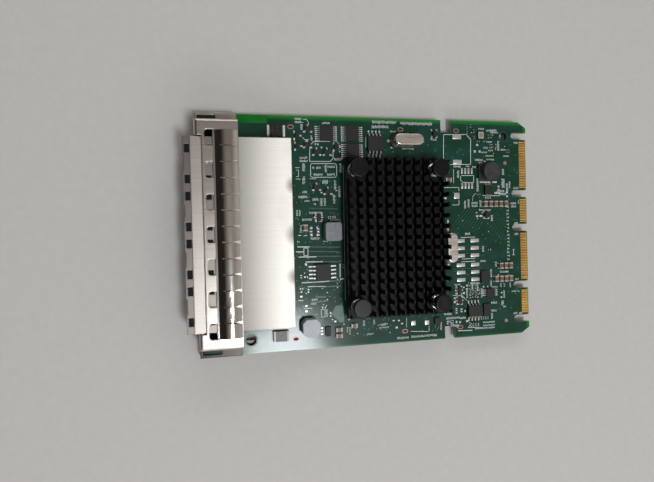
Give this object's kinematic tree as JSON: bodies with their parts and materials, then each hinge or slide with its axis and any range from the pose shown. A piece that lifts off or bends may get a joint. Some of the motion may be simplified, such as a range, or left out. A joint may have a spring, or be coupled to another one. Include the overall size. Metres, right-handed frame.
{
  "type": "mezzanine network card",
  "caption": "Small server network card with a keyed gold card edge, a row of shielded jack ports in a folded bracket, and a black pin-fin heatsink on push pins.",
  "frame": {"origin": "bottom centre of the whole card, on the plane of the push pins' tips", "axes": "+X from the ports to the gold card edge, +Y across the card, +Z out of the component side"},
  "size_m": [0.1194, 0.0764, 0.0147],
  "materials": {
    "solder_mask": "satin green solder mask",
    "edge_gold": "gold plate",
    "bracket_nickel": "nickel plated sheet",
    "strip_steel": "polished spring steel",
    "screw_steel": "zinc plated",
    "jack_black": "moulded black plastic",
    "jack_nickel": "brushed nickel plate",
    "contact_gold": "gold plate",
    "light_guide": "clear moulding",
    "potting_black": "cast resin",
    "tinned_leads": "tinned metal",
    "chip_black": "moulded epoxy",
    "pad_grey": "soft thermal pad",
    "sink_black": "black anodised",
    "pin_black": "black nylon",
    "spring_steel": "spring wire",
    "ferrite_grey": "pressed ferrite",
    "ferrite_black": "ground ferrite",
    "crystal_steel": "drawn can",
    "base_black": "moulded plate",
    "ceramic_brown": "fired ceramic",
    "ceramic_grey": "speckled ceramic",
    "package_dark": "moulded epoxy",
    "link_black": "glazed face"
  },
  "bodies": {
    "root": {"circuit_board": "solder_mask", "edge_contacts_top": "edge_gold", "edge_contacts_bottom": "edge_gold", "bracket": "bracket_nickel", "bracket_contact_strip": "strip_steel", "bracket_screws": "screw_steel", "jack_housing": "jack_black", "jack_front_shield": "jack_nickel", "jack_rear_shield": "jack_nickel", "jack_contacts": "contact_gold", "jack_light_guides": "light_guide", "jack_magnetics": "potting_black", "jack_solder_pins": "tinned_leads", "controller_chip": "chip_black", "thermal_pad": "pad_grey", "heatsink": "sink_black", "heatsink_push_pins": "pin_black", "heatsink_push_springs": "spring_steel", "square_inductor": "ferrite_grey", "octagon_inductor": "ferrite_grey", "drum_inductor_core": "ferrite_black", "drum_inductor_base": "base_black", "inductor_terminals": "tinned_leads", "crystal_leads": "tinned_leads", "crystal_can_upper": "crystal_steel", "crystal_can_right": "crystal_steel", "crystal_base_upper": "base_black", "crystal_base_right": "base_black", "small_packages": "chip_black", "small_package_legs": "tinned_leads", "flat_packages": "package_dark", "chip_capacitors": "ceramic_brown", "chip_capacitor_ends": "tinned_leads", "link_resistor": "link_black", "link_resistor_ends": "tinned_leads", "large_capacitor": "ceramic_grey", "large_capacitor_ends": "tinned_leads", "bare_pads": "tinned_leads", "switch_chip_front": "chip_black", "switch_chip_front_leads": "tinned_leads", "switch_chip_middle": "chip_black", "switch_chip_middle_leads": "tinned_leads", "switch_chip_inner": "chip_black", "switch_chip_inner_leads": "tinned_leads", "memory_chip_upper": "chip_black", "memory_chip_upper_leads": "tinned_leads", "memory_chip_left": "chip_black", "memory_chip_left_leads": "tinned_leads", "power_chip_lower": "chip_black", "power_chip_lower_leads": "tinned_leads", "driver_chip_right": "chip_black", "driver_chip_right_leads": "tinned_leads", "driver_chip_upper": "chip_black", "driver_chip_upper_leads": "tinned_leads"}
  },
  "joints": []
}
